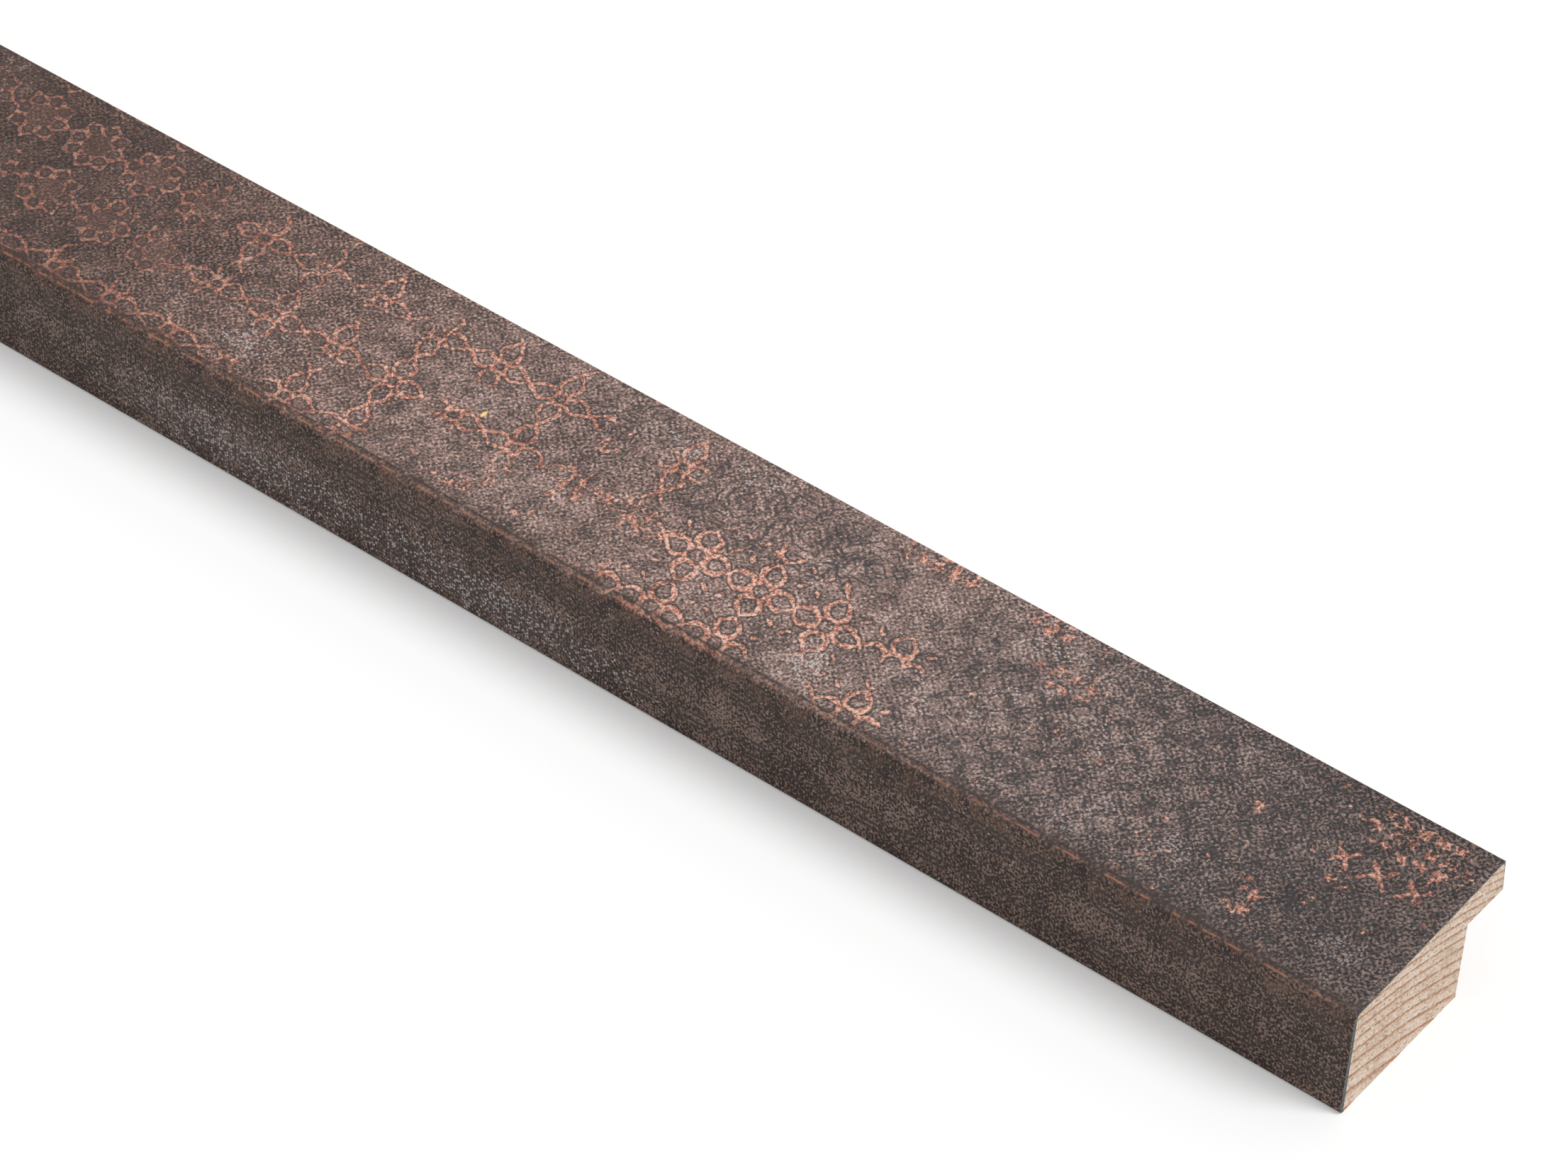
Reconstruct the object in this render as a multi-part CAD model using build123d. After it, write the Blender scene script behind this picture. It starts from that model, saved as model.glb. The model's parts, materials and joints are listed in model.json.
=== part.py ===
from build123d import *
import os

# Picture frame moulding, as a straight length of stock with square saw-cut ends.
# A planed softwood stick carries a rebate under its lip for the glass, the picture and
# the backing. A printed foil is laminated over the outer side, the face and the sight
# edge, and is thick enough to show as a layer of its own on a saw cut.
#
# Millimetres. X runs along the stick, Y across it from the outer side to the sight edge,
# and Z up from the flat back. The origin is on the back, in the middle of the length and
# of the overall width.

# Overall sizes, foil included
stick_length = 1000.0
overall_width = 30.0
sight_edge_height = 16.35
outer_side_height = 15.2

# Rebate, measured from the sight edge and from the back
rebate_width = 7.1
rebate_height = 11.4

# Between the lip's underside and the face the sight edge leans in by this much
sight_edge_lean = 0.5

# Foil thickness on each side that it covers
foil_on_side = 0.6
foil_on_face = 0.25
foil_on_sight_edge = 0.1

# Planed corners of the timber: at the back, at the face's outer edge and at the lip
timber_foot_radius = 0.4
timber_outer_radius = 0.5
timber_sight_radius = 0.9

# The foil bends round the outer corner, is rubbed round at its foot, and fills the lip's
# corner out to a crisper edge than the timber's
foil_outer_radius = timber_outer_radius + foil_on_side
foil_foot_radius = foil_on_side
foil_sight_radius = 0.35

# Rise of the face for each millimetre across it, and lean of the sight edge for each
# millimetre up it
face_slope = (sight_edge_height - outer_side_height) / (overall_width - sight_edge_lean)
edge_slope = sight_edge_lean / (sight_edge_height - rebate_height)


def blank(on_side, on_face, on_edge, foot_radius, outer_radius, sight_radius):
    """Section of the stick before its rebate is cut, set in by a layer on three sides.

    It has Y to the right and Z up, and starts from the outer side's foot.
    """
    left = on_side
    right = overall_width - on_edge

    # The face line and the leaning sight edge meet at the sight corner
    rise_above_lip = outer_side_height - on_face - rebate_height
    sight_y = (right - edge_slope * rise_above_lip) / (1 + edge_slope * face_slope)

    foot = (left, 0)
    outer_corner = (left, outer_side_height + face_slope * left - on_face)
    sight_corner = (sight_y, outer_side_height + face_slope * sight_y - on_face)
    lip_corner = (right, rebate_height)
    below_lip = (right, 0)

    outline = Polyline(foot, outer_corner, sight_corner, lip_corner, below_lip, close=True)
    section = make_face(outline)
    for corner, radius in (
        (foot, foot_radius),
        (outer_corner, outer_radius),
        (sight_corner, sight_radius),
    ):
        sharp = section.vertices().sort_by_distance((*corner, 0))[0]
        section = fillet(sharp, radius)
    return section


def rebate():
    """Rectangle that the rebate takes out of a blank, open at the back and sight edge."""
    return Pos(overall_width, 0) * Rectangle(2 * rebate_width, 2 * rebate_height)


def timber_blank():
    """Section of the planed timber before its rebate is cut."""
    return blank(
        foil_on_side,
        foil_on_face,
        foil_on_sight_edge,
        timber_foot_radius,
        timber_outer_radius,
        timber_sight_radius,
    )


def finished_blank():
    """Section of the timber with its foil on, before the rebate is cut."""
    return blank(0, 0, 0, foil_foot_radius, foil_outer_radius, foil_sight_radius)


def along_the_stick(section):
    """Runs a section along the whole length, centred on the origin in X and Y."""
    end = Plane.YZ.offset(-stick_length / 2)
    return extrude(end * Pos(-overall_width / 2, 0) * section, stick_length)


timber_profile = along_the_stick(timber_blank() - rebate())
foil_wrap = along_the_stick(finished_blank() - timber_blank() - rebate())

os.makedirs("parts", exist_ok=True)
export_step(timber_profile, "parts/timber_profile.step")
export_step(foil_wrap, "parts/foil_wrap.step")
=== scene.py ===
import json
import math
from collections import namedtuple
from functools import reduce

import bpy
import numpy as np
from mathutils import Matrix, Vector
from mathutils.geometry import delaunay_2d_cdt


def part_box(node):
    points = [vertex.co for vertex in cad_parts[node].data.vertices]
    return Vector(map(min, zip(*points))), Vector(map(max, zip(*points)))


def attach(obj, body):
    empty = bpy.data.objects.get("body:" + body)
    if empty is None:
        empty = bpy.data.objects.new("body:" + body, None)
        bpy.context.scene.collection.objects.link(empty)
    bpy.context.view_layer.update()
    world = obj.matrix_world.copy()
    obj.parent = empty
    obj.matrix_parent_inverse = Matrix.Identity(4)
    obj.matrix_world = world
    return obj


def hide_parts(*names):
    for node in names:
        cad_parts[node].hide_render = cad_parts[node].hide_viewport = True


# The looks of a straight picture frame moulding: a planed softwood stick with saw-cut ends,
# wrapped in a worn, charcoal brown decor foil that carries a copper tile ornament.
#
# Lengths are millimetres until a mesh, lamp or camera is made. The print is drawn in the
# foil's own flat coordinates: along, from the end nearest the camera, and across, from the
# crease over the outer corner towards the sight edge. Across is negative down the side.

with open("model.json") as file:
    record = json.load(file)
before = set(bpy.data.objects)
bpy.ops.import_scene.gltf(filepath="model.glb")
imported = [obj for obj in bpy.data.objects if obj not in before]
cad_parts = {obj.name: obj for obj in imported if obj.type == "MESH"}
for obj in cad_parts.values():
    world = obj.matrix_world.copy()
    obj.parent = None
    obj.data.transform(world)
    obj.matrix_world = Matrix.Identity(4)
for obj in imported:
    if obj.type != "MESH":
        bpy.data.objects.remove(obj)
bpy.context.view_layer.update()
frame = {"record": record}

MM = 0.001

# Sizes read from the frame
foil_low, foil_high = (np.array(corner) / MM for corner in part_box("foil_wrap"))
timber_low, timber_high = (np.array(corner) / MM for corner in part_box("timber_profile"))
mounts = {mount["name"]: np.array(mount["pos_m"]) / MM for mount in frame["record"]["mounts"]}
stick_length = foil_high[0] - foil_low[0]
near_end = foil_high[0]
outer_side = foil_low[1]
sight_edge = foil_high[1]
foil_on_side = timber_low[1] - foil_low[1]
foil_on_sight_edge = foil_high[1] - timber_high[1]
rebate_wall = mounts["rebate_wall"][1]
rebate_shelf = mounts["rebate_shelf"][2]

# Sizes of the section that the frame's boxes don't give
outer_side_height = 15.2
sight_edge_height = 16.35
sight_edge_lean = 0.5
foil_on_face = 0.25
timber_foot_radius = 0.4
timber_outer_radius = 0.5
timber_sight_radius = 0.9
foil_outer_radius = timber_outer_radius + foil_on_side
foil_foot_radius = foil_on_side
foil_sight_radius = 0.35
overall_width = sight_edge - outer_side
face_slope = (sight_edge_height - outer_side_height) / (overall_width - sight_edge_lean)
edge_slope = sight_edge_lean / (sight_edge_height - rebate_shelf)

# Spacing of the meshes' points: steps go round the section, and stations along the stick.
# The foil's points carry the strength of each motif of its print, so they lie close together
# outside and far apart on its hidden inside.
foil_step = 1.0
foil_station = 1.25
hidden_step = 10.0
timber_step = 0.5
timber_station = 25.0
# Straight pieces that make up each rounded corner
corner_steps = 8

# The map for the baked pictures lays each piece out in strips of this length, side by side
strip_length = 200.0
strip_gap = 1.5
side_column = 60.0


# Section outlines

def unit(vector):
    return vector / np.linalg.norm(vector)


def corner_arc(before, corner, after, radius):
    """Points of the arc that rounds the corner between two straight sides."""
    before, corner, after = (np.array(point, float) for point in (before, corner, after))
    to_before = unit(before - corner)
    to_after = unit(after - corner)
    half_angle = math.acos(to_before @ to_after) / 2
    centre = corner + unit(to_before + to_after) * radius / math.sin(half_angle)
    setback = radius / math.tan(half_angle)
    first = unit(corner + to_before * setback - centre)
    last = unit(corner + to_after * setback - centre)
    turn = math.acos(first @ last)
    points = []
    for share in np.linspace(0, 1, corner_steps + 1):
        blend = first * math.sin((1 - share) * turn) + last * math.sin(share * turn)
        points.append(centre + radius * blend / math.sin(turn))
    return points


def with_points_between(corners, spacing):
    """A path's points, with more along its long straight runs."""
    points = [np.array(corners[0], float)]
    for corner in corners[1:]:
        run = np.array(corner, float) - points[-1]
        pieces = max(1, round(float(np.linalg.norm(run)) / spacing))
        start = points[-1]
        points.extend(start + run * (i + 1) / pieces for i in range(pieces))
    return points


def outer_corners(on_side, on_face, on_edge):
    """Foot, outer corner, sight corner and lip corner of a layer of the section."""
    left = outer_side + on_side
    right = sight_edge - on_edge

    def face_height(y):
        return outer_side_height + face_slope * (y - outer_side) - on_face

    rise_above_lip = face_height(outer_side) - rebate_shelf
    sight_y = (right - outer_side - edge_slope * rise_above_lip) / (1 + edge_slope * face_slope)
    sight_y += outer_side
    return (
        (left, 0.0),
        (left, face_height(left)),
        (sight_y, face_height(sight_y)),
        (right, rebate_shelf),
    )


def path_over_the_face(on_side, on_face, on_edge, radii, spacing):
    """Path from the foot up the side, over the face and down the sight edge to the lip."""
    foot, outer, sight, lip = outer_corners(on_side, on_face, on_edge)
    foot_radius, outer_radius, sight_radius = radii
    # The back runs from the foot to the heel of the rebate
    heel = (rebate_wall, 0.0)
    corners = [
        *corner_arc(heel, foot, outer, foot_radius),
        *corner_arc(foot, outer, sight, outer_radius),
        *corner_arc(outer, sight, lip, sight_radius),
        lip,
    ]
    return with_points_between(corners, spacing)


def finished_path():
    """Outside of the foil."""
    radii = (foil_foot_radius, foil_outer_radius, foil_sight_radius)
    return path_over_the_face(0, 0, 0, radii, foil_step)


def timber_path(spacing):
    """Where the timber and the foil meet."""
    radii = (timber_foot_radius, timber_outer_radius, timber_sight_radius)
    return path_over_the_face(foil_on_side, foil_on_face, foil_on_sight_edge, radii, spacing)


def rebate_path():
    """From the lip corner along the shelf, down the rebate wall and along the back."""
    lip = (sight_edge - foil_on_sight_edge, rebate_shelf)
    shelf_corner = (rebate_wall, rebate_shelf)
    heel = (rebate_wall, 0.0)
    foot = (timber_low[1] + timber_foot_radius, 0.0)
    return with_points_between([lip, shelf_corner, heel, foot], timber_step)[1:-1]


# Meshes

def triangles_in(outline):
    """Triangles that fill a closed outline."""
    points = [Vector(point) for point in outline]
    edges = [(i, (i + 1) % len(points)) for i in range(len(points))]
    keep_inside = 1
    tolerance = 1e-6
    filled = delaunay_2d_cdt(points, edges, [], keep_inside, tolerance)
    corners, faces = filled[0], filled[2]
    if len(corners) != len(points):
        raise ValueError("the outline's points don't all stay apart")
    return [tuple(face) for face in faces]


def sweep(outline, stations):
    """Points and quads of an outline carried along X, in rings of the outline's points."""
    ring = np.array(outline)
    size = len(ring)
    points = np.zeros((len(stations), size, 3))
    points[:, :, 0] = np.array(stations)[:, None]
    points[:, :, 1:] = ring
    quads = []
    for station in range(len(stations) - 1):
        here = station * size
        there = here + size
        for i in range(size):
            j = (i + 1) % size
            quads.append((here + i, there + i, there + j, here + j))
    return points.reshape(-1, 3), quads


def add_object(name, data):
    """Puts a mesh, camera or lamp into the scene."""
    thing = bpy.data.objects.new(name, data)
    bpy.context.scene.collection.objects.link(thing)
    return thing


def make_piece(name, points, faces, materials, material_of_face, smooth):
    mesh = bpy.data.meshes.new(name)
    mesh.from_pydata((points * MM).tolist(), [], faces)
    for material in materials:
        mesh.materials.append(material)
    mesh.polygons.foreach_set("material_index", material_of_face)
    mesh.polygons.foreach_set("use_smooth", smooth)
    mesh.validate()
    mesh.update()
    return add_object(name, mesh)


# A piece swept along the stick, with what its maps are worked out from
Stick = namedtuple("Stick", "piece points outline stations caps")


def capped_sweep(name, outline, spacing, materials, smooth_sides):
    """An outline carried along the whole stick, with the second material on both ends."""
    stations = np.linspace(-near_end, near_end, round(stick_length / spacing) + 1)
    points, quads = sweep(outline, stations)
    cap = triangles_in(outline)
    last_ring = len(points) - len(outline)
    near_cap = [tuple(last_ring + i for i in face) for face in cap]
    far_cap = [face[::-1] for face in cap]
    caps = near_cap + far_cap
    material_of_face = [0] * len(quads) + [1] * len(caps)
    smooth = [smooth_sides] * len(quads) + [False] * len(caps)
    piece = make_piece(name, points, quads + caps, materials, material_of_face, smooth)
    return Stick(piece, points, outline, stations, caps)


def add_attribute(piece, name, values):
    attribute = piece.data.attributes.new(name, "FLOAT", "POINT")
    attribute.data.foreach_set("value", np.asarray(values, np.float32))


def add_uv(piece, name, along, across):
    """A UV map in millimetres, from one pair of values for each of the mesh's points."""
    mesh = piece.data
    corner_points = np.zeros(len(mesh.loops), np.int32)
    mesh.loops.foreach_get("vertex_index", corner_points)
    pairs = np.stack([along[corner_points], across[corner_points]], -1)
    layer = mesh.uv_layers.new(name=name)
    layer.data.foreach_set("uv", pairs.astype(np.float32).ravel())


def add_bake_map(stick, shown_from, shown_to):
    """Lays a swept piece out flat in a unit square, for baked pictures.

    The outline's edges from shown_from up to shown_to are seen, and lie in strips at full
    size. The other edges are squashed into a column beside them, with both end caps.
    """
    ring = np.array(stick.outline)
    size = len(ring)
    spans = np.linalg.norm(np.roll(ring, -1, axis=0) - ring, axis=1)
    reach = np.concatenate([[0], np.cumsum(spans)])
    along = stick.stations - stick.stations[0]
    strip_width = reach[shown_to] - reach[shown_from]
    strips = math.ceil(along[-1] / strip_length)
    cap_height = np.ptp(ring[:, 1]) + strip_gap
    column_left = strip_length + strip_gap
    square = max(strips * (strip_width + strip_gap), column_left + side_column)

    # Each quad's corners in the order that sweep gives them
    edge = np.tile(np.arange(size), len(along) - 1)
    station = np.repeat(np.arange(len(along) - 1), size)
    corner_along = along[station[:, None] + np.array([0, 1, 1, 0])]
    corner_reach = reach[edge[:, None] + np.array([0, 0, 1, 1])]
    strip = np.floor(corner_along.mean(1, keepdims=True) / strip_length)
    shown_u = corner_along - strip * strip_length
    shown_v = corner_reach - reach[shown_from] + strip * (strip_width + strip_gap)
    hidden_span = reach[-1] - strip_width
    from_hidden = (corner_reach - reach[shown_to]) if shown_from == 0 else corner_reach
    column_height = square - 2 * cap_height
    hidden_u = column_left + from_hidden * (side_column / hidden_span)
    hidden_v = 2 * cap_height + corner_along * (column_height / along[-1])
    shown = ((edge >= shown_from) & (edge < shown_to))[:, None]
    u = np.where(shown, shown_u, hidden_u).ravel()
    v = np.where(shown, shown_v, hidden_v).ravel()

    # The near cap stands at the column's foot, and the far cap above it
    cap_points = np.array(stick.caps) % size
    cap_foot = np.repeat([0, cap_height], len(stick.caps) // 2)
    cap_u = column_left + ring[cap_points, 0] - ring[:, 0].min()
    cap_v = ring[cap_points, 1] + cap_foot[:, None]
    all_u = np.concatenate([u, cap_u.ravel()])
    all_v = np.concatenate([v, cap_v.ravel()])
    pairs = np.stack([all_u, all_v], -1)
    layer = stick.piece.data.uv_layers.new(name="OFBake")
    layer.data.foreach_set("uv", (pairs / square).astype(np.float32).ravel())


# Shader arithmetic

class Field:
    """A number that varies over a surface: a shader node's output, with arithmetic."""

    def __init__(self, socket):
        self.socket = socket

    def __add__(self, other):
        return calculate("ADD", self, other)

    def __sub__(self, other):
        return calculate("SUBTRACT", self, other)

    def __rsub__(self, other):
        return calculate("SUBTRACT", other, self)

    def __mul__(self, other):
        return calculate("MULTIPLY", self, other)

    def __truediv__(self, other):
        return calculate("DIVIDE", self, other)

    def __abs__(self):
        return calculate("ABSOLUTE", self)

    def __neg__(self):
        return calculate("MULTIPLY", self, -1.0)

    __radd__ = __add__
    __rmul__ = __mul__


def plug(tree, value, socket):
    """Gives a socket a field's value, or a plain number or colour."""
    if isinstance(value, Field):
        tree.links.new(value.socket, socket)
    elif isinstance(value, bpy.types.NodeSocket):
        tree.links.new(value, socket)
    else:
        socket.default_value = value


def tree_of(*values):
    """The node tree of the first value that comes out of a node."""
    for value in values:
        if isinstance(value, Field):
            return value.socket.id_data
        if isinstance(value, bpy.types.NodeSocket):
            return value.id_data
    raise ValueError("at least one value has to be a field")


def calculate(operation, *values):
    """One of the shader's own sums, on fields and plain numbers."""
    tree = tree_of(*values)
    node = tree.nodes.new("ShaderNodeMath")
    node.operation = operation
    for value, socket in zip(values, node.inputs):
        plug(tree, value, socket)
    return Field(node.outputs[0])


def least(*values):
    return reduce(lambda one, other: calculate("MINIMUM", one, other), values)


def greatest(*values):
    return reduce(lambda one, other: calculate("MAXIMUM", one, other), values)


def length(x, y):
    return calculate("SQRT", x * x + y * y)


def rise(value, low, high):
    """0 below low, 1 above high and a smooth step between. High may be the smaller one."""
    tree = tree_of(value)
    node = tree.nodes.new("ShaderNodeMapRange")
    node.interpolation_type = "SMOOTHSTEP"
    for name, number in (("Value", value), ("From Min", low), ("From Max", high)):
        plug(tree, number, node.inputs[name])
    return Field(node.outputs["Result"])


def wrapped(value, period):
    """The value folded into the range from minus to plus half a period."""
    half = period / 2
    return calculate("WRAP", value, half, -half)


def vector(x, y, z=0.0):
    tree = tree_of(x, y, z)
    node = tree.nodes.new("ShaderNodeCombineXYZ")
    for value, socket in zip((x, y, z), node.inputs):
        plug(tree, value, socket)
    return node.outputs[0]


def noise(place, size, detail=1.0, roughness=0.5, flat=True):
    """Soft noise of about 0 to 1 round 0.5, with lumps of the given size in millimetres."""
    tree = place.id_data
    node = tree.nodes.new("ShaderNodeTexNoise")
    node.noise_dimensions = "2D" if flat else "3D"
    plug(tree, place, node.inputs["Vector"])
    node.inputs["Scale"].default_value = 1 / size
    node.inputs["Detail"].default_value = detail
    node.inputs["Roughness"].default_value = roughness
    return Field(node.outputs["Fac"])


def maze(place, period, lump):
    """Wavy labyrinth of 0 to 1 whose lines lie one period apart, in millimetres."""
    tree = place.id_data
    node = tree.nodes.new("ShaderNodeTexGabor")
    node.gabor_type = "2D"
    plug(tree, place, node.inputs["Vector"])
    node.inputs["Scale"].default_value = 1 / lump
    node.inputs["Frequency"].default_value = lump / period
    node.inputs["Anisotropy"].default_value = 0.0
    return Field(node.outputs["Value"])


def flecks(place, size):
    """A random number from 0 to 1 for each small cell, and the distance from its centre."""
    tree = place.id_data
    node = tree.nodes.new("ShaderNodeTexVoronoi")
    node.voronoi_dimensions = "2D"
    plug(tree, place, node.inputs["Vector"])
    node.inputs["Scale"].default_value = 1 / size
    split = tree.nodes.new("ShaderNodeSeparateColor")
    tree.links.new(node.outputs["Color"], split.inputs[0])
    return Field(split.outputs[0]), Field(node.outputs["Distance"]) * size


def centred(value, spread):
    """A noise round 0.5 as a field round 0, with most of it between -2 and 2."""
    return (value - 0.5) / spread


def colour(red, green, blue):
    """A display colour, 0 to 255 each, as the linear colour that a shader takes."""
    def linear(level):
        level = level / 255
        if level <= 0.04045:
            return level / 12.92
        return ((level + 0.055) / 1.055) ** 2.4
    return (linear(red), linear(green), linear(blue), 1.0)


def blend(share, below, above, mode="MIX"):
    """One colour laid over another where share is 1."""
    tree = tree_of(share, below, above)
    node = tree.nodes.new("ShaderNodeMix")
    node.data_type = "RGBA"
    node.blend_type = mode
    plug(tree, share, node.inputs["Factor"])
    plug(tree, below, node.inputs["A"])
    plug(tree, above, node.inputs["B"])
    return node.outputs["Result"]


def ramp(amount, *stops):
    """Colour from a row of stops, each of them a place from 0 to 1 and a colour."""
    tree = tree_of(amount)
    node = tree.nodes.new("ShaderNodeValToRGB")
    plug(tree, amount, node.inputs[0])
    elements = node.color_ramp.elements
    while len(elements) < len(stops):
        elements.new(1.0)
    for element, (place, tint) in zip(elements, stops):
        element.position = place
        element.color = tint
    return node.outputs[0]


def scaled(tint, factor):
    """A colour made lighter or darker by a field."""
    tree = tint.id_data
    node = tree.nodes.new("ShaderNodeVectorMath")
    node.operation = "SCALE"
    tree.links.new(tint, node.inputs[0])
    plug(tree, factor, node.inputs["Scale"])
    return node.outputs[0]


def uv_places(tree, name):
    """The two values of a UV map."""
    node = tree.nodes.new("ShaderNodeUVMap")
    node.uv_map = name
    split = tree.nodes.new("ShaderNodeSeparateXYZ")
    tree.links.new(node.outputs[0], split.inputs[0])
    return Field(split.outputs[0]), Field(split.outputs[1])


def attribute(tree, name):
    """One of the strengths that the mesh carries at its points."""
    node = tree.nodes.new("ShaderNodeAttribute")
    node.attribute_name = name
    return Field(node.outputs["Fac"])


def object_places(tree):
    """Places in the stick's own millimetres, so that a pattern runs on from face to face."""
    coordinates = tree.nodes.new("ShaderNodeTexCoord")
    return scaled(coordinates.outputs["Object"], 1 / MM)


def new_material(name):
    """A material with its node tree and its shader."""
    material = bpy.data.materials.new(name)
    material.use_nodes = True
    return material, material.node_tree, material.node_tree.nodes["Principled BSDF"]


def set_surface(shader, tint, roughness, specular, height, depth):
    """Colour and shine, and a bump from a height of 0 to 1 that stands for a depth in mm."""
    tree = shader.id_data
    plug(tree, tint, shader.inputs["Base Color"])
    plug(tree, roughness, shader.inputs["Roughness"])
    shader.inputs["Specular IOR Level"].default_value = specular
    bump = tree.nodes.new("ShaderNodeBump")
    bump.inputs["Distance"].default_value = depth * MM
    plug(tree, height, bump.inputs["Height"])
    tree.links.new(bump.outputs[0], shader.inputs["Normal"])


# The foil's print

# A motif repeats on a lattice: the along and across of one centre, the pitch each way, and
# how far a row shifts along the stick for each millimetre across it
Lattice = namedtuple("Lattice", "along across pitch_along pitch_across skew")
TILES = Lattice(173.7, 12.1, 9.38, 10.0, 0.115)
# X marks stand about two to a tile each way, and crumbs of such marks twice as close
MARKS = Lattice(32.5, 18.6, 4.6, 4.95, 0.0)
CRUMBS = Lattice(4.4, 22.2, 2.3, 2.45, 0.0)
# Long capsules cover the outer side
CAPSULES = Lattice(22.5, -10.9, 8.4, 7.2, 0.0)
# The row of flowers stands this much lower than the crosses
flowers_lowered = 0.7
# Across of the foil's hidden inside, which lies clear of the print
hidden_across = -40.0
# Along and across of the print's one bright speck of gold, and how far out it shows
gold_speck = (133.3, 14.4)
gold_speck_radius = 0.36

# The cloth's threads: their pitch each way, and how far they lean
Threads = namedtuple("Threads", "pitch_along pitch_across skew")
FACE_THREADS = Threads(0.465, 0.479, 0.08)
SIDE_THREADS = Threads(0.40, 0.39, 0.0)

# Depth of the relief on the print and on its cut edge
foil_relief = 0.02
cut_relief = 0.03

# Colours laid over the ground of the face
charcoal = colour(50, 49, 50)
nested_charcoal = colour(58, 56, 56)
tick_charcoal = colour(52, 51, 53)
star_brown = colour(124, 88, 76)
speck_grey = colour(60, 57, 58)
dust_grey = colour(206, 200, 199)
gold = colour(244, 218, 142)

# Motifs of the ornament, each with an attribute of its own that says where it shows
MOTIFS = ("discs", "crosses", "flowers", "ticks", "marks", "crumbs", "scribbles", "meander")
# Broad changes of the ground, with an attribute each: lighter or darker, warmer, dusty. Along the
# first stretch, lighter or darker holds painted shade as well as the print's own tone.
CHANGES = ("tone", "warmth", "dust")

# No patch of the ground is darker than this
darkest_tone = -0.66
# A motif fades out over this share of its patch's half size
patch_rim = 0.4

# A patch of the print: what it is, the middle and half size of the patch along and across
# the stick in millimetres, and how strongly it shows
Patch = namedtuple("Patch", "kind along across half_along half_across strength")

NEAR_PATCHES = (
    Patch("discs", 203, 22, 26, 9, 1.05),
    Patch("discs", 195, 11, 20, 6, 1.00),
    Patch("crosses", 173, 21, 8, 8, 0.80),
    Patch("crosses", 174, 12, 9, 4, 0.70),
    Patch("crosses", 163, 13, 9, 6, 0.78),
    Patch("crosses", 165, 24, 4, 8, 0.62),
    Patch("crosses", 182, 2, 26, 3.5, 1.00),
    Patch("crosses", 153, 14, 8, 5, 0.90),
    Patch("crosses", 153, 4, 6, 6, 0.95),
    Patch("crosses", 145, 14, 6, 14, 1.10),
    Patch("crosses", 137, 23, 12, 6, 1.00),
    Patch("crosses", 127, 19, 7, 12, 1.05),
    Patch("crosses", 132, 12, 10, 3, 0.95),
    Patch("crosses", 145, 3, 5, 4, 0.80),
    Patch("crosses", 109.1, 21.5, 3.4, 8, 1.20),
    Patch("crosses", 155, 24, 7, 5, 0.72),
    Patch("scribbles", 109, 12, 8, 3, 1.20),
    Patch("scribbles", 119, 11, 5, 4, 1.10),
    Patch("scribbles", 126, 8, 3, 4, 0.85),
    Patch("scribbles", 129, 4, 4, 3, 0.85),
    Patch("scribbles", 120, 5, 3, 2, 0.75),
    Patch("scribbles", 121, 19, 5, 3, 0.65),
    Patch("flowers", 89, 11.5, 18, 8, 1.80),
    Patch("flowers", 71.5, 14, 6, 3.5, 1.20),
    Patch("flowers", 95, 3.5, 14, 5.5, 1.45),
    Patch("flowers", 71, 4, 7, 4.5, 1.20),
    Patch("flowers", 75, 29.5, 8, 3.5, 0.80),
    Patch("flowers", 59, 29, 5, 3, 0.80),
    Patch("meander", 94, 22, 18, 9, 1.25),
    Patch("meander", 118, 24, 10, 8, 0.70),
    Patch("ticks", 36, 14, 44, 22, 0.80),
    Patch("ticks", 82, 23, 9, 7, 0.60),
    Patch("crumbs", 53, 22, 6, 3, 0.85),
    Patch("crumbs", 18.5, 7, 2.4, 4, 0.80),
    Patch("crumbs", 8.5, 25, 9, 4.5, 0.80),
    Patch("crumbs", 75, 27.5, 7, 2.5, 0.85),
    Patch("crumbs", 60, 27.5, 5, 2.5, 0.85),
    Patch("crumbs", 32, 6, 3, 2.4, 0.60),
    Patch("crumbs", 12, 15.3, 3, 1.8, 0.60),
    Patch("marks", 9.5, 18.7, 9, 3.4, 1.00),
    # The tone patches of the first stretch are the print's own tone together with painted shade:
    # the face's brightness changes along the stick
    Patch("tone", 0, 15, 74, 200, -0.66),
    Patch("tone", 90, 16, 26, 30, 0.14),
    Patch("tone", 140, 15, 50, 200, -0.04),
    Patch("tone", 213, 15, 78, 200, -0.74),
    Patch("tone", 40, 0, 50, 6, -0.20),
    Patch("tone", 36, 30, 44, 6, -0.20),
    Patch("warmth", 0, 15, 70, 200, 0.30),
    Patch("warmth", 110, 15, 100, 200, 0.50),
    Patch("warmth", 225, 15, 110, 200, 1.20),
    Patch("dust", 78, 5, 5, 4, 0.80),
    Patch("dust", 164, 6, 5, 3, 0.90),
    Patch("dust", 100, 26, 5, 3, 0.60),
    Patch("dust", 57, 25, 6, 3, 0.60),
    Patch("dust", 57, 16, 4, 2, 0.60),
    Patch("dust", 29, 8, 5, 3, 0.60),
    Patch("dust", 7, 7, 6, 3, 0.80),
    Patch("dust", 120, -11, 34, 6, 1.00),
    Patch("dust", 162, -10, 34, 7, 0.95),
)


# Past the stretch in the photo, patches and changes start here and run on past the far end
later_patches_start = 226.0
later_changes_start = 300.0
patches_overrun = 10.0
changes_overrun = 40.0
patches_seed = 11
changes_seed = 5


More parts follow.
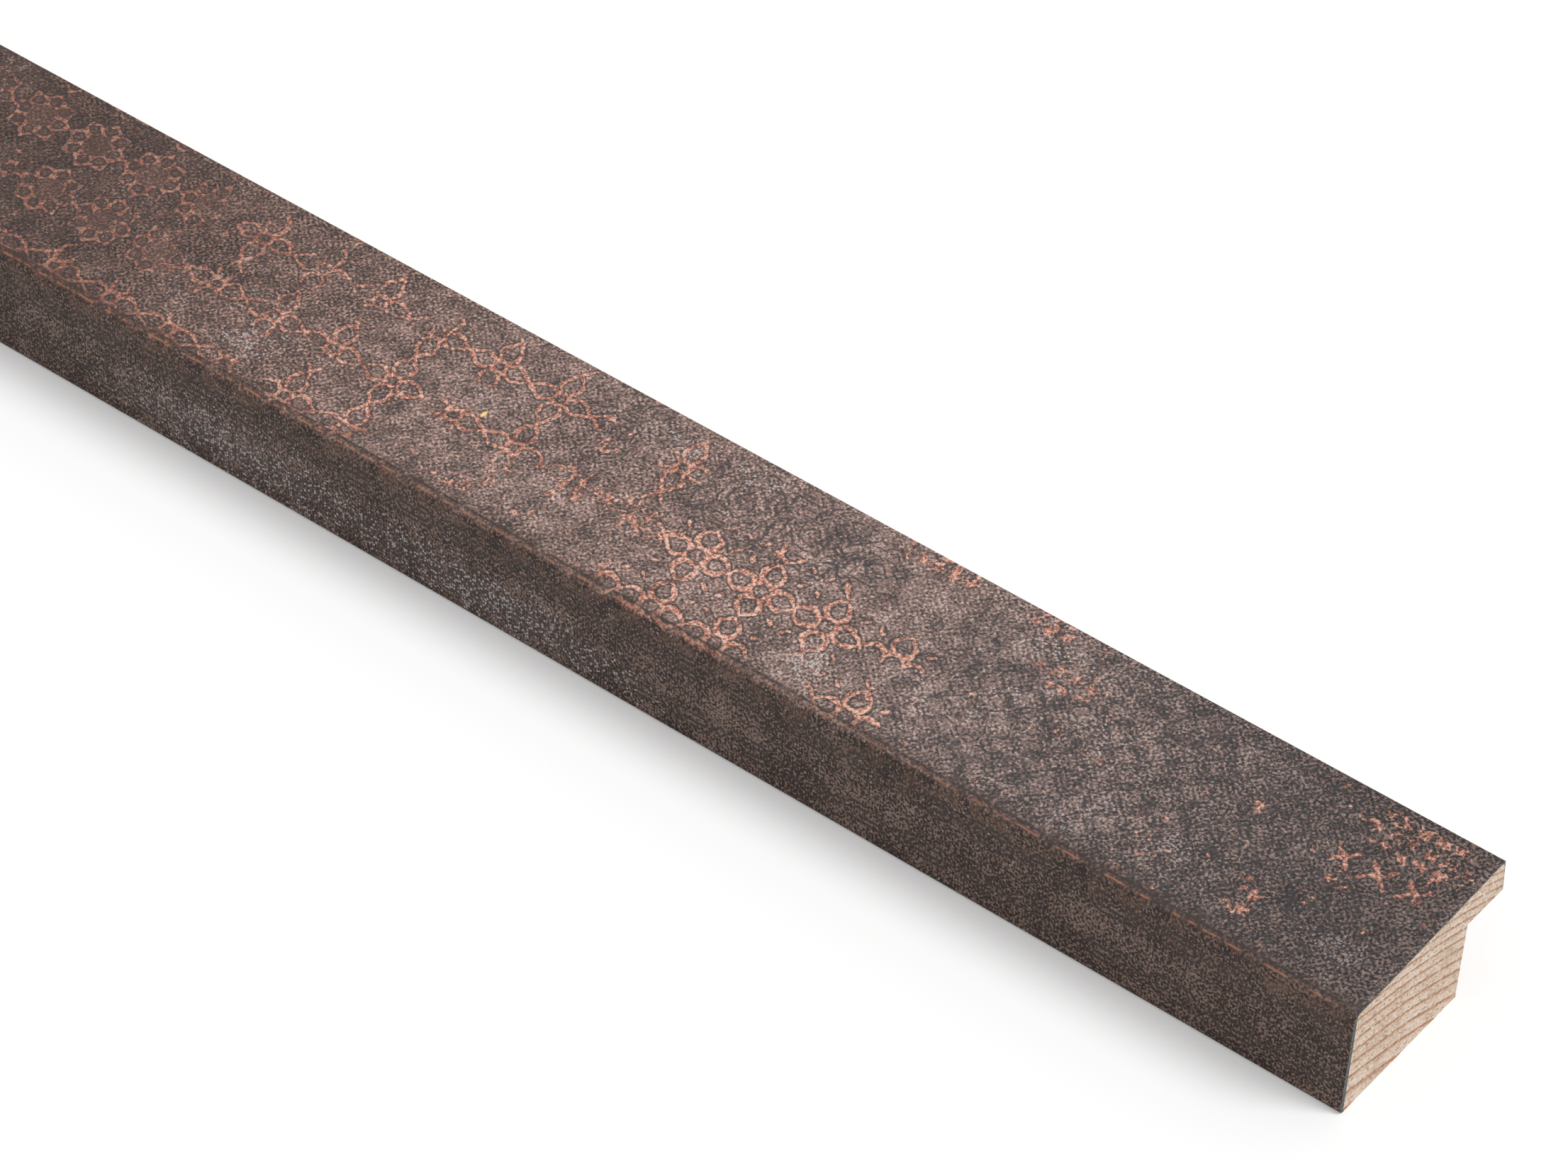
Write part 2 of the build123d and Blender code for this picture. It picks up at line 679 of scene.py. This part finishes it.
def later_patches():
    """Patches of the same kinds over the rest of the stick, in a fixed random order."""
    chance = np.random.default_rng(patches_seed)
    patches = []
    along = later_patches_start
    while along < stick_length + patches_overrun:
        motif = MOTIFS[int(chance.integers(len(MOTIFS)))]
        half_along = chance.uniform(8, 22)
        across = chance.uniform(4, 26)
        half_across = chance.uniform(5, 12)
        strength = chance.uniform(0.7, 1.0)
        patches.append(Patch(motif, along, across, half_along, half_across, strength))
        along += chance.uniform(4, 11)
    return patches


def later_changes():
    """Broad changes of the ground over the rest of the stick."""
    chance = np.random.default_rng(changes_seed)
    face_middle = 15
    all_across = 200
    patches = []
    along = later_changes_start
    while along < stick_length + changes_overrun:
        half_along = chance.uniform(40, 75)
        tone = chance.uniform(-0.55, 0.05)
        warmth = chance.uniform(0.1, 1.0)
        patches.append(Patch("tone", along, face_middle, half_along, all_across, tone))
        patches.append(Patch("warmth", along, face_middle, half_along, all_across, warmth))
        dusty_place = along + chance.uniform(-20, 20)
        dusty_across = chance.uniform(-14, 26)
        patches.append(Patch("dust", dusty_place, dusty_across, 12, 4, 0.8))
        along += chance.uniform(45, 80)
    return patches


ALL_PATCHES = [*NEAR_PATCHES, *later_patches(), *later_changes()]


def nearness(patch, along, across):
    """1 at the middle of a patch, 0 on its rim and less outside it."""
    from_middle = (along - patch.along) / patch.half_along
    aside = (across - patch.across) / patch.half_across
    return 1 - np.hypot(from_middle, aside)


def motif_weights(motif, along, across):
    """How strongly a motif shows at each of the foil's points, from 0 to about 1."""
    weights = np.zeros(len(along))
    for patch in ALL_PATCHES:
        if patch.kind == motif:
            share = np.clip(nearness(patch, along, across) / patch_rim, 0, 1)
            weights = np.maximum(weights, patch.strength * share)
    return weights


def change_weights(change, along, across):
    """Sum of the soft patches of one change at each of the foil's points."""
    weights = np.zeros(len(along))
    for patch in ALL_PATCHES:
        if patch.kind == change:
            share = np.clip(nearness(patch, along, across), 0, 1)
            weights += patch.strength * share * share * (3 - 2 * share)
    return np.maximum(weights, darkest_tone)


def across_the_print(outside):
    """Distance round the foil's outside from the crease, for each point of its outline."""
    points = np.array(outside)
    steps = np.linalg.norm(np.diff(points, axis=0), axis=1)
    reach = np.concatenate([[0], np.cumsum(steps)])
    # The crease is the middle of the outer corner's arc, which lies nearest its sharp corner
    sharp_corner = outer_corners(0, 0, 0)[1]
    crease = np.linalg.norm(points - sharp_corner, axis=1).argmin()
    return reach - reach[crease]


def foil_piece(materials):
    """The foil as one closed layer: print outside, cut edges at both ends."""
    outside = finished_path()
    inside = timber_path(hidden_step)[::-1]
    foil = capped_sweep("printed_foil", outside + inside, foil_station, materials, True)
    across_ring = np.full(len(foil.outline), hidden_across)
    across_ring[:len(outside)] = across_the_print(outside)
    along = near_end - foil.points[:, 0]
    across = np.tile(across_ring, len(foil.stations))
    add_uv(foil.piece, "foil", along, across)
    for motif in MOTIFS:
        add_attribute(foil.piece, motif, motif_weights(motif, along, across))
    for change in CHANGES:
        add_attribute(foil.piece, change, change_weights(change, along, across))
    add_bake_map(foil, 0, len(outside) - 1)
    return foil.piece


def lattice_places(along, across, lattice):
    """Distances from the nearest centre of a lattice, along and across, without sign."""
    from_row = across - lattice.across
    skewed = along - lattice.along - from_row * lattice.skew
    return abs(wrapped(skewed, lattice.pitch_along)), abs(wrapped(from_row, lattice.pitch_across))


def along_diagonal(x, y):
    """Distance from a centre along the diagonal between its two directions."""
    return (x + y) * math.sqrt(0.5)


def beside_diagonal(x, y):
    """Distance from that diagonal."""
    return abs(x - y) * math.sqrt(0.5)


def line(distance, width):
    """1 on a drawn line of the given width, from the distance to its middle."""
    softness = 0.12
    return rise(abs(distance), width / 2 + softness, width / 2 - softness)


# A distance grows this much faster beyond a stroke's end, which cuts the stroke off cleanly
cut_off = 3


def cross_motif(x, y):
    """Distance to a small square ring with four pointed arms that cross their neighbours'."""
    ring_half = 0.93
    arm_start = 1.15
    widest = 1.25
    ring = calculate("POWER", x * x * x * x + y * y * y * y, 0.25) - ring_half

    def arm(reach, side, half_tile):
        """Distance to the edges of an arm, which widens from the ring and narrows again."""
        widening = (reach - 0.35) * 0.8
        narrowing = (half_tile - reach) * 0.66
        half_width = least(narrowing, widening, widest)
        return abs(side - half_width) + cut_off * greatest(arm_start - reach, 0.0)

    arms = least(arm(x, y, TILES.pitch_along / 2), arm(y, x, TILES.pitch_across / 2))
    return least(abs(ring), arms)


def flower_motif(x, y):
    """How far a point lies outside the web of a four-petalled flower and its strokes."""
    heart_hole = 1.12
    petal_middle = 2.72
    petal_radius = 1.43
    petal_length = 1.95
    half_wall = 0.33
    rim_radius = 1.5
    stroke_middle = 5.0
    stroke_half_length = 0.5
    stroke_half_width = 0.2
    major = greatest(x, y)
    minor = least(x, y)
    from_centre = length(x, y)

    # A petal is round towards the centre and runs out into a point
    round_part = length(major - petal_middle, minor) - petal_radius
    outward = (major - petal_middle) / petal_length
    pointed_part = minor - (1.0 - outward * outward) * petal_radius
    past_middle = calculate("GREATER_THAN", major, petal_middle)
    petal = round_part + (pointed_part - round_part) * past_middle

    # The petals run together round the centre, and each cell of the web has a hole
    rim = calculate("SMOOTH_MIN", petal - half_wall, from_centre - rim_radius, 0.6)
    web = greatest(rim, -petal - half_wall, heart_hole - from_centre)
    past_ends = greatest(abs(along_diagonal(x, y) - stroke_middle) - stroke_half_length, 0.0)
    stroke = beside_diagonal(x, y) + past_ends - stroke_half_width
    return least(web, stroke)


def disc_motif(x, y):
    """Distance from the middle of the nearest of eight small discs in a circle."""
    straight_place = 2.95
    diagonal_place = 2.15
    major = greatest(x, y)
    minor = least(x, y)
    straight = length(major - straight_place, minor)
    diagonal = length(major - diagonal_place, minor - diagonal_place)
    return least(straight, diagonal)


def star_motif(x, y):
    """How far a point lies outside the eight-pointed star that holds the discs."""
    square_half = 3.35
    diamond_half = 3.36
    square = greatest(x, y) - square_half
    diamond = along_diagonal(x, y) - diamond_half
    return least(square, diamond)


def tick_motif(x, y):
    """Distance from the middle lines of four diagonal capsules that make a cross."""
    capsule_middle = 1.7
    capsule_half = 0.75
    past_ends = greatest(abs(along_diagonal(x, y) - capsule_middle) - capsule_half, 0.0)
    return length(past_ends, beside_diagonal(x, y))


def mark_motif(x, y, reach):
    """Distance to an X mark whose arms are reach long."""
    return beside_diagonal(x, y) + greatest(along_diagonal(x, y) - reach, 0.0)


def meander_motif(x, y, slanting):
    """Distance to nested squares round each tile's centre, that slant where told to."""
    spacing = 1.15
    diamond_share = 0.72
    square = greatest(x, y)
    diamond = (x + y) * diamond_share
    return abs(wrapped(square + (diamond - square) * slanting, spacing))


def capsule_motif(x, y):
    """Distance to two nested long capsules, with crossed strokes between them and the next."""
    straight_half = 1.7
    outer_radius = 1.35
    inner_radius = 0.55
    crossing_start = 3.0
    crossing_middle = 3.5
    capsule = length(greatest(x - straight_half, 0.0), y)
    before_start = greatest(crossing_start - x, 0.0)
    crossing = abs(y - (x - crossing_middle)) + cut_off * before_start
    return least(abs(capsule - outer_radius), abs(capsule - inner_radius), crossing)


def weave_relief(along, across, threads):
    """Plain weave from -1 to 1: two sets of threads that pass over and under each other."""
    leaning = along - across * threads.skew
    warp = calculate("SINE", leaning * (math.pi / threads.pitch_along))
    weft = calculate("SINE", across * (math.pi / threads.pitch_across))
    return warp * weft


# Fields of the worn cloth, each round 0 with most of it between -2 and 2
Cloth = namedtuple("Cloth", "worms blobs grain patchy cloud lumps")


def worn_cloth(along, across):
    """The cloth's fields at a point of the print."""
    place = vector(along, across)
    worms = centred(maze(place, 0.54, 0.75), 0.11)
    blobs = centred(noise(place, 0.50, 1.0, 0.7), 0.115)
    grain = centred(noise(place, 0.18, 0.0), 0.16)
    patchy = centred(noise(vector(along + 90.0, across), 2.6, 2.0, 0.6), 0.10)
    cloud = centred(noise(vector(along, across + 50.0), 9.0, 2.0, 0.55), 0.10)
    lumps = centred(noise(vector(along + 12.0, across + 81.0), 0.66, 1.0, 0.6), 0.115)
    return Cloth(worms, blobs, grain, patchy, cloud, lumps)


def dusted(tree, tint, along, across, dust):
    """Lays small pale sparkles over a colour, thick where dust is 1, faint in dark cloth."""
    chance, from_centre = flecks(vector(along, across), 0.32)
    fewest = 0.95 - dust * 0.45
    sparkle = rise(chance, fewest, fewest + 0.08) * rise(from_centre, 0.20, 0.09)
    faint = least(attribute(tree, "tone") + 1.1, 1.0)
    return blend(sparkle * faint * 0.75, tint, dust_grey)


def face_ground(tree, along, cloth, weave):
    """The worn brown cloth under the ornament, with loose drifts of charcoal specks."""
    tone = attribute(tree, "tone")
    warmth = attribute(tree, "warmth")
    fine = cloth.worms * 0.70 + cloth.blobs * 0.75 + cloth.grain * 0.50 + weave * 0.75
    broad = cloth.patchy * 0.40 + cloth.cloud * 0.22
    # Where the cloth is dark its texture is stronger too, most of all where it is cool,
    # but the dark ticks stand on calmer cloth
    contrast = 1.0 - tone * (1.50 - warmth * 1.05) - attribute(tree, "ticks") * 0.35
    drifts = rise(along, 85.0, 125.0) * rise(cloth.cloud - cloth.patchy * 0.6, -1.3, 0.7)
    contrast = contrast * (1.0 - drifts * 0.22)
    ground = ramp(
        (fine * contrast + broad) * 0.2 + 0.5,
        (0.00, colour(58, 54, 54)),
        (0.25, colour(89, 79, 77)),
        (0.50, colour(128, 111, 106)),
        (0.75, colour(162, 142, 136)),
        (1.00, colour(206, 186, 180)),
    )
    specks = rise(cloth.lumps + cloth.worms * 0.3, -0.85, -1.25) * drifts
    ground = blend(warmth, ground, colour(255, 225, 210), "MULTIPLY")
    # Tone lightens or darkens the ground: the print's tone, with painted shade along the first
    # stretch
    ground = scaled(ground, 1.0 + tone)
    return blend(specks * 0.72, ground, speck_grey)


def copper_colours(tree, along, mottle):
    """Worn copper, duller where the cloth is dark and after the first stretch."""
    bright = ramp(
        mottle * 0.2 + 0.5,
        (0.10, colour(112, 70, 59)),
        (0.35, colour(166, 106, 87)),
        (0.60, colour(202, 138, 116)),
        (0.90, colour(242, 198, 177)),
    )
    dull = rise(along, 155.0, 190.0) * 0.50
    worn = blend(dull, bright, colour(148, 90, 72))
    # The copper follows the tone, painted shade included
    return scaled(worn, 1.0 + attribute(tree, "tone") * 0.3)


# What is drawn on the face: copper, the dark outline round it, the stars' fill, the nested
# squares and the ticks, each from 0 to 1, and where the flowers are
Drawing = namedtuple("Drawing", "copper outline stars nested ticks flowers")


def face_drawing(tree, along, across, patchy):
    """The ornament of the face, as far as wear has left it."""
    worn = noise(vector(along, across + 60.0), 3.0, 1.0, 0.6)
    broken = noise(vector(along + 44.0, across + 23.0), 1.0, 2.0, 0.7)
    # A slight wander takes the ruled look off every drawn line
    wander = noise(vector(along, across), 1.3) - 0.5
    wander_too = noise(vector(along + 37.0, across + 11.0), 1.3) - 0.5

    def places(lattice, sway, lowered=0.0):
        """Where a point lies round its motif's centre, when the lines sway."""
        return lattice_places(along + wander * sway, across + wander_too * sway + lowered, lattice)

    # Where each motif has survived wear
    wear = (worn - 0.5) * 1.5 + (broken - 0.5) * 1.2
    shown = {motif: rise(attribute(tree, motif) + wear, 0.40, 0.62) for motif in MOTIFS}

    tile = places(TILES, 0.7)
    mark = places(MARKS, 1.2)
    crosses = cross_motif(*tile)
    flowers = flower_motif(*places(TILES, 0.7, flowers_lowered))
    discs = disc_motif(*tile)
    star = star_motif(*tile)
    ticks = tick_motif(*mark)
    marks = mark_motif(*mark, 2.15)
    crumbs = mark_motif(*places(CRUMBS, 1.8), 0.85)
    scribbles = cross_motif(*places(TILES, 3.0))
    nested = meander_motif(*tile, rise(worn, 0.46, 0.54))
    in_star = rise(star, 0.10, -0.10) * shown["discs"]
    star_fill = in_star * rise(discs, 0.76, 0.92) * rise(length(*tile), 1.9, 2.2)
    copper = greatest(
        line(crosses, 0.54) * shown["crosses"],
        rise(flowers, 0.12, -0.12) * shown["flowers"],
        star_fill * rise(broken, 0.42, 0.50),
        line(marks, 0.56) * shown["marks"],
        line(crumbs, 0.48) * shown["crumbs"],
        line(scribbles, 0.66) * shown["scribbles"] * rise(broken, 0.40, 0.52),
    )
    outline = greatest(
        line(crosses - 0.44, 0.24) * shown["crosses"] * 0.8,
        line(flowers - 0.20, 0.26) * shown["flowers"] * 0.9,
        line(scribbles - 0.50, 0.26) * shown["scribbles"] * 0.8,
        line(discs - 0.70, 0.28) * shown["discs"],
        line(star - 0.12, 0.28) * shown["discs"],
        line(marks - 0.45, 0.30) * shown["marks"] * 0.8,
    )
    tick_fill = rise(ticks, 0.45, 0.25) * rise(patchy, -0.4, -1.4) * 0.5
    all_ticks = greatest(line(ticks - 0.38, 0.30), tick_fill) * shown["ticks"]
    nested_lines = line(nested, 0.30) * shown["meander"]
    return Drawing(copper, outline, in_star, nested_lines, all_ticks, shown["flowers"])


def face_print(tree, along, across, cloth):
    """Colour of the face, how much copper shows, and the height of its relief."""
    weave = weave_relief(along, across, FACE_THREADS)
    drawing = face_drawing(tree, along, across, cloth.patchy)
    tint = face_ground(tree, along, cloth, weave)
    tint = blend(drawing.stars * 0.22, tint, star_brown)
    tint = blend(drawing.outline * 0.80, tint, charcoal)
    tint = blend(drawing.nested * 0.80, tint, nested_charcoal)
    tint = blend(drawing.ticks * 0.80, tint, tick_charcoal)

    # Copper is thinner where the cloth below it is dark
    mottle = cloth.blobs + cloth.grain * 0.5 + cloth.patchy * 0.4
    left = drawing.copper * (0.55 + rise(mottle, -1.8, 0.0) * 0.42)
    copper_tint = copper_colours(tree, along, mottle + drawing.flowers * 0.4)
    tint = blend(left, tint, copper_tint)

    dust = attribute(tree, "dust") + rise(cloth.cloud, 0.8, 2.2) * 0.2
    tint = dusted(tree, tint, along, across, dust)
    # The speck of gold is twice as long across the stick as along it
    from_speck = length(along - gold_speck[0], (across - gold_speck[1]) * 0.5)
    tint = blend(rise(from_speck, gold_speck_radius, gold_speck_radius / 2), tint, gold)
    height = weave * 0.5 + 0.5 + drawing.copper * 0.5
    return tint, drawing.copper, height


def side_print_and_shade(tree, along, across, cloth):
    """Colour and relief of the outer side: its darker print, with painted shade of the side that
    faces away from the lamp.
    """
    weave = weave_relief(along, across, SIDE_THREADS)
    # The threads that stand up the side show as fine upright lines too
    upright = calculate("SINE", along * (2 * math.pi / SIDE_THREADS.pitch_along))
    fine = cloth.worms * 0.85 + cloth.blobs * 1.05 + cloth.grain * 0.75 + weave * 0.85
    broad = cloth.patchy * 0.40 + cloth.cloud * 0.40
    # Painted shade: these colours are the side's print darkened further for the shade of a side
    # turned away from the lamp
    ground = ramp(
        (fine + upright * 0.50 + broad) * 0.30 + 0.5,
        (0.00, colour(30, 20, 14)),
        (0.25, colour(48, 32, 24)),
        (0.50, colour(76, 54, 44)),
        (0.75, colour(98, 76, 66)),
        (1.00, colour(130, 110, 101)),
    )
    below_crease = rise(across, -7.0, -0.5) * rise(cloth.patchy, -1.0, 0.8)
    ground = blend(below_crease * 0.50, ground, colour(86, 60, 46))

    capsules = capsule_motif(*lattice_places(along, across, CAPSULES))
    faded = rise(cloth.patchy, -1.4, 0.2) * rise(cloth.cloud, -1.6, 0.0)
    ground = blend(line(capsules, 0.44) * faded * 0.85, ground, colour(44, 35, 31))

    dust = attribute(tree, "dust")
    ground = blend(rise(dust, 0.0, 1.0) * 0.20, ground, colour(106, 97, 95))
    tint = dusted(tree, ground, along, across, dust * 0.6)
    height = weave * 0.5 + 0.5
    return tint, height


def creased(along, across, patchy, on_face, tint):
    """Lays the crease over the outer corner: painted shade along the face's edge, where it rounds
    away from the light, and two thin lines.
    """
    rubbed = noise(vector(along, across * 0.2), 3.0, 3.0, 0.6)
    # The copper line is faint beside the flowers
    kept = least(abs(along - 75.0) * 0.016 + 0.4, 1.0)
    copper_line = line(across - 0.20 + patchy * 0.03, 0.20) * rise(rubbed, 0.45, 0.56) * kept
    dark_line = line(across - 0.80 + patchy * 0.01, 0.34) * rise(rubbed, 0.36, 0.48)
    # Painted shade: the face darkens over its last few millimetres towards the outer corner
    painted_edge_shade = rise(across, 2.8, 0.3) * on_face
    tint = blend(painted_edge_shade * 0.50, tint, colour(72, 56, 49))
    tint = blend(dark_line * 0.75, tint, colour(50, 40, 37))
    return blend(copper_line * 0.80, tint, colour(180, 120, 92))


def foil_material():
    """The print, which changes to the side's darker print and painted shade over the outer
    corner's arc.
    """
    material, tree, shader = new_material("printed_foil")
    along, across = uv_places(tree, "foil")
    cloth = worn_cloth(along, across)
    face_tint, copper, face_height = face_print(tree, along, across, cloth)
    side_tint, side_height = side_print_and_shade(tree, along, across, cloth)
    on_face = rise(across + cloth.patchy * 0.06, -0.6, 0.3)
    tint = blend(on_face, side_tint, face_tint)
    tint = creased(along, across, cloth.patchy, on_face, tint)
    height = side_height + (face_height - side_height) * on_face
    set_surface(shader, tint, 0.62 - copper * 0.12, 0.35, height, foil_relief)
    return material


def cut_foil_material():
    """The grey paper core of the foil on the saw cut."""
    material, tree, shader = new_material("cut_foil_edge")
    mottle = noise(object_places(tree), 0.4, 2.0, 0.6, flat=False)
    tint = blend(rise(mottle, 0.35, 0.65), colour(66, 70, 68), colour(112, 118, 114))
    set_surface(shader, tint, 0.8, 0.2, mottle, cut_relief)
    return material


# The timber

# Yearly rings turn about an axis along the stick, well below it and towards the outer side
ring_axis = (outer_side - 20.6, -98.0)
# Radius of the ring that crosses the outer foot, and how the count of rings grows from it
first_ring_radius = 100.9
rings_per_mm = 0.35
rings_crowding = 0.012
# The rings lean by about this angle across the middle of the section
ring_lean = math.radians(16.68)
# Depth of the relief on a saw cut and on planed wood
sawn_relief = 0.06
planed_relief = 0.03


def timber_places(tree):
    """The three coordinates of a point of the timber."""
    split = tree.nodes.new("ShaderNodeSeparateXYZ")
    tree.links.new(object_places(tree), split.inputs[0])
    return tuple(Field(output) for output in split.outputs)


def ring_field(x, y, z):
    """Where a point lies in its yearly ring: 0 at its start, and just under 1 in latewood."""
    drift = noise(vector(x * 0.02, y * 0.03, z * 0.03), 1.0, 2.0, flat=False)
    wobble = noise(vector(x * 0.1, y, z), 2.5, flat=False)
    radius = length(y - ring_axis[0], z - ring_axis[1])
    radius = radius + (drift - 0.5) * 1.2 + (wobble - 0.5) * 0.20
    outward = radius - first_ring_radius
    count = outward * rings_per_mm + outward * outward * rings_crowding
    return calculate("FRACT", count)


def timber_material(name, sawn):
    """Softwood on a saw cut, or planed along its grain."""
    material, tree, shader = new_material(name)
    x, y, z = timber_places(tree)
    ring = ring_field(x, y, z)
    # Flecks lie along the rings on a saw cut, and along the stick elsewhere
    with_rings = y * math.cos(ring_lean) - z * math.sin(ring_lean)
    over_rings = y * math.sin(ring_lean) + z * math.cos(ring_lean)
    stretch = 1.0 if sawn else 0.05
    place = vector(x * stretch, with_rings * 0.5, over_rings)
    elsewhere = vector(x * stretch, with_rings * 0.5 + 40.0, over_rings)
    fibre = noise(place, 0.20, flat=False)
    fleck = noise(elsewhere, 0.30, 1.0, 0.6, flat=False)
    broad = noise(vector(x * 0.05, y, z), 3.0, 2.0, flat=False)
    latewood = rise(ring, 0.62, 0.90) * rise(ring, 1.0, 0.94)
    latewood = latewood * rise(fleck, 0.26, 0.42) * rise(broad, 0.15, 0.45)
    tint = blend(rise(broad, 0.35, 0.65), colour(204, 184, 163), colour(219, 201, 183))
    tint = blend(rise(ring, 0.20, 0.80) * 0.25, tint, colour(200, 162, 136))
    tint = blend(latewood * 0.85, tint, colour(170, 112, 80))
    fleck_strength = 0.70 if sawn else 0.45
    tint = blend(rise(fleck, 0.56, 0.70) * fleck_strength, tint, colour(142, 108, 88))
    tint = blend(rise(fleck, 0.44, 0.30) * 0.45, tint, colour(236, 226, 214))
    tint = scaled(tint, 0.52 + fibre * 0.88)
    roughness = 0.85 if sawn else 0.6
    relief = sawn_relief if sawn else planed_relief
    set_surface(shader, tint, roughness, 0.25, fibre * 0.7 + latewood * 0.5, relief)
    return material


def timber_piece(materials):
    """The planed stick, with its two saw-cut ends."""
    covered = timber_path(timber_step)
    outline = covered + rebate_path()
    timber = capped_sweep("planed_timber", outline, timber_station, materials, False)
    add_bake_map(timber, len(covered) - 1, len(outline))
    return timber.piece


# Stage, lamp and camera

# Azimuths turn from the outer side's direction towards the near end, in degrees
camera_place = (684.80, -375.98, 433.43)
camera_azimuth = 36.015
camera_elevation = 42.049
camera_roll = 3.04
lens_focal_length = 125.307
sensor_width = 36.0

# The lamp is a soft sun, and the rest of the light comes from all round
lamp_azimuth = 110.0
lamp_elevation = 50.0
lamp_strength = 1.7
lamp_spread = 25.0
light_all_round = 0.55

floor_half = 6000.0
floor_brightness = 0.86
floor_glow = 0.22


def direction(azimuth, elevation):
    """Unit vector towards an azimuth and an elevation."""
    turn, lift = math.radians(azimuth), math.radians(elevation)
    level = math.cos(lift)
    return Vector((math.sin(turn) * level, -math.cos(turn) * level, math.sin(lift)))


def make_camera():
    """The camera that sees the stick as the photo does."""
    data = bpy.data.cameras.new("camera")
    data.sensor_width = sensor_width
    data.lens = lens_focal_length
    data.clip_start = 0.01
    data.clip_end = 20.0
    camera = add_object("camera", data)
    back = direction(camera_azimuth, camera_elevation)
    right = Vector((0, 0, 1)).cross(back).normalized()
    right = Matrix.Rotation(math.radians(camera_roll), 3, back) @ right
    up = back.cross(right)
    turned = Matrix((right, up, back)).transposed().to_4x4()
    camera.matrix_world = Matrix.Translation(Vector(camera_place) * MM) @ turned
    bpy.context.scene.camera = camera


def make_floor():
    """A wide pale floor that shows white to the camera but keeps the stick's shadow."""
    half = floor_half * MM
    mesh = bpy.data.meshes.new("floor")
    corners = [(-half, -half, 0), (half, -half, 0), (half, half, 0), (-half, half, 0)]
    mesh.from_pydata(corners, [], [(0, 1, 2, 3)])
    floor = add_object("floor", mesh)
    material = bpy.data.materials.new("pale_floor")
    material.use_nodes = True
    tree = material.node_tree
    tree.nodes.clear()
    diffuse = tree.nodes.new("ShaderNodeBsdfDiffuse")
    diffuse.inputs["Color"].default_value = (*[floor_brightness] * 3, 1)
    glow = tree.nodes.new("ShaderNodeEmission")
    plug(tree, seen_directly(tree) * floor_glow, glow.inputs["Strength"])
    add = tree.nodes.new("ShaderNodeAddShader")
    tree.links.new(diffuse.outputs[0], add.inputs[0])
    tree.links.new(glow.outputs[0], add.inputs[1])
    output = tree.nodes.new("ShaderNodeOutputMaterial")
    tree.links.new(add.outputs[0], output.inputs["Surface"])
    mesh.materials.append(material)


def seen_directly(tree):
    """1 for rays that the camera, a glossy surface or glass sends out."""
    path = tree.nodes.new("ShaderNodeLightPath")
    names = ("Is Camera Ray", "Is Glossy Ray", "Is Transmission Ray")
    return greatest(*(Field(path.outputs[name]) for name in names))


def make_world():
    """Soft light from all round, and white behind the stick."""
    world = bpy.data.worlds.new("studio")
    world.use_nodes = True
    tree = world.node_tree
    background = tree.nodes["Background"]
    background.inputs["Color"].default_value = (1, 1, 1, 1)
    strength = seen_directly(tree) * (1.0 - light_all_round) + light_all_round
    plug(tree, strength, background.inputs["Strength"])
    bpy.context.scene.world = world


def make_lamp():
    """The one lamp, which shines on the face and leaves the outer side in half light."""
    data = bpy.data.lights.new("key_lamp", "SUN")
    data.energy = lamp_strength
    data.angle = math.radians(lamp_spread)
    lamp = add_object("key_lamp", data)
    lamp.rotation_mode = "QUATERNION"
    lamp.rotation_quaternion = direction(lamp_azimuth, lamp_elevation).to_track_quat("Z", "Y")


make_camera()
make_world()
make_lamp()
make_floor()

foil = foil_piece((foil_material(), cut_foil_material()))
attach(foil, "root")
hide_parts("foil_wrap")

planed = timber_material("planed_softwood", False)
sawn = timber_material("sawn_softwood", True)
timber = timber_piece((planed, sawn))
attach(timber, "root")
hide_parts("timber_profile")

bpy.context.scene.view_settings.view_transform = "Standard"
